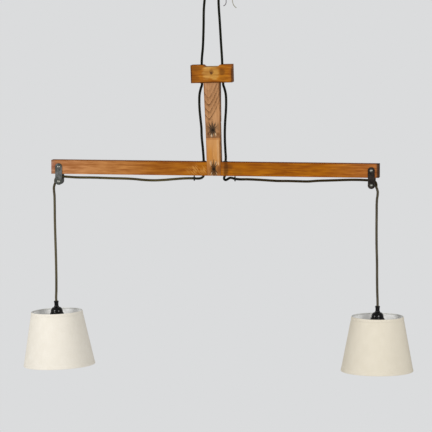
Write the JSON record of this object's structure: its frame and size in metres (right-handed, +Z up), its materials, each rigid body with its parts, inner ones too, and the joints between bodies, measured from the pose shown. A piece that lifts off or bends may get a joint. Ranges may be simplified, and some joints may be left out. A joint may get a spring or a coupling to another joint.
{
  "type": "extendable pendant light",
  "caption": "Oak T-shaped pendant frame hung on textile cords that run down through it and over end rollers to linen-shaded lamps of adjustable drop.",
  "frame": {"origin": "middle of the ceiling bracket's upper face, which lies against the ceiling", "axes": "+Z up, out of the ceiling face; +X along the beam to the right as seen in the picture; +Y away from the front"},
  "size_m": [1.4415, 0.2652, 1.4073],
  "materials": {
    "bracket": "black, satin, folded steel",
    "steel": "bare steel heads",
    "dark_cord": "near-black woven sheath",
    "olive_cord": "faded olive-brown woven sheath",
    "dark_core": "insulated core",
    "light_core": "insulated core",
    "beam_wood": "warm orange-brown oak, oiled",
    "pale_wood": "pale straight-grained oak",
    "grey_wood": "greyish tan oak",
    "block_wood": "brown oak, with a lighter middle",
    "black_iron": "blackened, dull",
    "black_rubber": "black, matt",
    "roller": "dark turned roller",
    "bakelite": "black, polished",
    "ceramic": "glazed white ceramic",
    "brass": "bare",
    "white_wire": "pale coated wire",
    "left_linen": "lined natural linen",
    "right_linen": "lined natural linen"
  },
  "bodies": {
    "ceiling": {"ceiling_bracket": "bracket", "clamp_bar": "bracket", "clamp_screws": "steel", "left_upper_cord": "dark_cord", "right_upper_cord": "dark_cord", "dark_core": "dark_core", "light_core": "light_core", "left_core": "dark_core"},
    "frame": {"beam": "beam_wood", "lower_post": "pale_wood", "upper_post": "grey_wood", "cross_block": "block_wood", "crossing_screw": "black_iron", "lap_screw": "black_iron", "block_screw": "black_iron", "beam_bushes": "black_rubber", "block_bushes": "black_rubber", "left_screw_eye": "black_iron", "right_screw_eye": "black_iron", "left_frame_cord": "olive_cord", "right_frame_cord": "olive_cord", "left_front_plate": "black_iron", "left_back_plate": "black_iron", "left_shackle_bolt": "steel", "left_roller_pin": "steel", "left_shackle_nuts": "black_iron", "left_drop_cord": "olive_cord", "right_front_plate": "black_iron", "right_back_plate": "black_iron", "right_shackle_bolt": "steel", "right_roller_pin": "steel", "right_shackle_nuts": "black_iron", "right_drop_cord": "olive_cord"},
    "left_roller": {"left_roller": "roller"},
    "right_roller": {"right_roller": "roller"},
    "left_lamp": {"left_cord_grip": "bakelite", "left_holder_cap": "bakelite", "left_contact_block": "ceramic", "left_terminal_screws": "brass", "left_holder_body": "bakelite", "left_thread_shell": "brass", "left_centre_contact": "brass", "left_spider": "white_wire", "left_shade_ring": "bakelite", "left_bottom_wire": "white_wire", "left_shade": "left_linen"},
    "right_lamp": {"right_cord_grip": "bakelite", "right_holder_cap": "bakelite", "right_contact_block": "ceramic", "right_terminal_screws": "brass", "right_holder_body": "bakelite", "right_thread_shell": "brass", "right_centre_contact": "brass", "right_spider": "white_wire", "right_shade_ring": "bakelite", "right_bottom_wire": "white_wire", "right_shade": "right_linen"}
  },
  "joints": [
    {"name": "frame_height", "type": "slide", "parent": "ceiling", "child": "frame", "axis": [0, 0, 1], "range_m": [-0.25, 0.14], "deforming": ["left_upper_cord", "right_upper_cord"]},
    {"name": "left_drop", "type": "slide", "parent": "frame", "child": "left_lamp", "axis": [0, 0, 1], "range_m": [-0.4, 0.25], "deforming": ["left_drop_cord"]},
    {"name": "right_drop", "type": "slide", "parent": "frame", "child": "right_lamp", "axis": [0, 0, 1], "range_m": [-0.4, 0.25], "deforming": ["right_drop_cord"]},
    {"name": "left_roller_spin", "type": "hinge", "parent": "frame", "child": "left_roller", "pos_m": [-0.5635, 0, -0.719], "axis": [0, 1, 0], "range_deg": [-1395, 872]},
    {"name": "right_roller_spin", "type": "hinge", "parent": "frame", "child": "right_roller", "pos_m": [0.5855, 0, -0.719], "axis": [0, 1, 0], "range_deg": [-872, 1395]}
  ],
  "couplings": [
    {"joint": "left_roller_spin", "follows": "left_drop", "rad_per_m": 60.606},
    {"joint": "right_roller_spin", "follows": "right_drop", "rad_per_m": -60.606}
  ]
}
